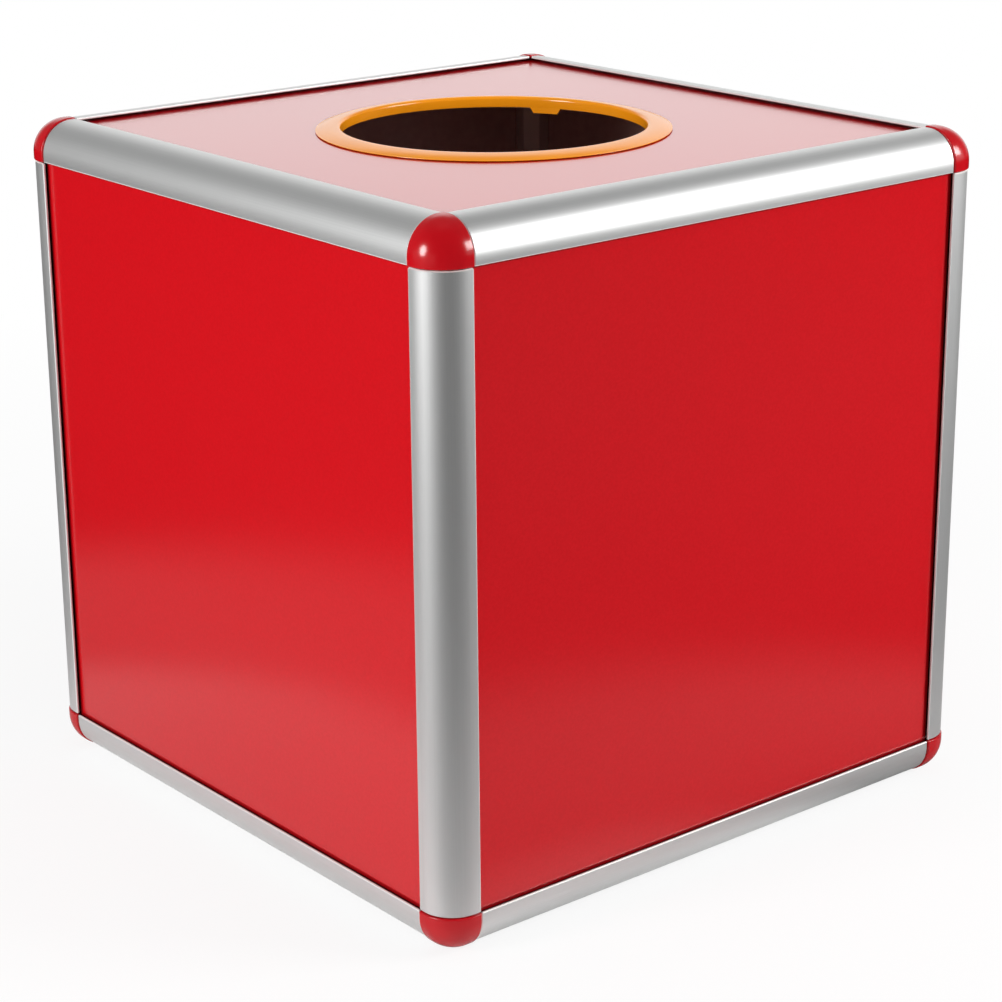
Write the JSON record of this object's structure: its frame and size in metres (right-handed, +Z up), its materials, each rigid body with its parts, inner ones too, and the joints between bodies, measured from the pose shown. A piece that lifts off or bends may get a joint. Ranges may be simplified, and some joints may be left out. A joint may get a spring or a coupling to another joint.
{
  "type": "donation box",
  "caption": "Cube-shaped donation box with red panels in rounded aluminium edge rails, red ball corners and a round hand hole with an orange ring in its top",
  "frame": {"origin": "middle of the footprint, on the surface that the box stands on", "axes": "+Z is up through the middle of the mouth, -Y is the front, +X is the right-hand side"},
  "size_m": [0.3, 0.3, 0.3],
  "materials": {
    "anodised_aluminium": "satin anodised extrusion with fine die lines along its length",
    "red_panel_board": "thin fibreboard with a satin red film outside and a bare dark brown inside face",
    "red_corner_plastic": "glossy moulded red plastic",
    "orange_ring_plastic": "glossy moulded orange plastic"
  },
  "bodies": {
    "box": {"rail_bottom_front": "anodised_aluminium", "rail_bottom_back": "anodised_aluminium", "rail_bottom_left": "anodised_aluminium", "rail_bottom_right": "anodised_aluminium", "rail_top_front": "anodised_aluminium", "rail_top_back": "anodised_aluminium", "rail_top_left": "anodised_aluminium", "rail_top_right": "anodised_aluminium", "post_front_left": "anodised_aluminium", "post_front_right": "anodised_aluminium", "post_back_left": "anodised_aluminium", "post_back_right": "anodised_aluminium", "corner_bottom_front_left": "red_corner_plastic", "corner_bottom_front_right": "red_corner_plastic", "corner_bottom_back_left": "red_corner_plastic", "corner_bottom_back_right": "red_corner_plastic", "corner_top_front_left": "red_corner_plastic", "corner_top_front_right": "red_corner_plastic", "corner_top_back_left": "red_corner_plastic", "corner_top_back_right": "red_corner_plastic", "panel_left": "red_panel_board", "panel_right": "red_panel_board", "panel_front": "red_panel_board", "panel_back": "red_panel_board", "panel_bottom": "red_panel_board", "panel_top": "red_panel_board"},
    "ring": {"mouth_ring": "orange_ring_plastic"}
  },
  "joints": [
    {"name": "ring_turn", "type": "hinge", "parent": "box", "child": "ring", "pos_m": [0, 0, 0.2971], "axis": [0, 0, 1], "continuous": true}
  ]
}
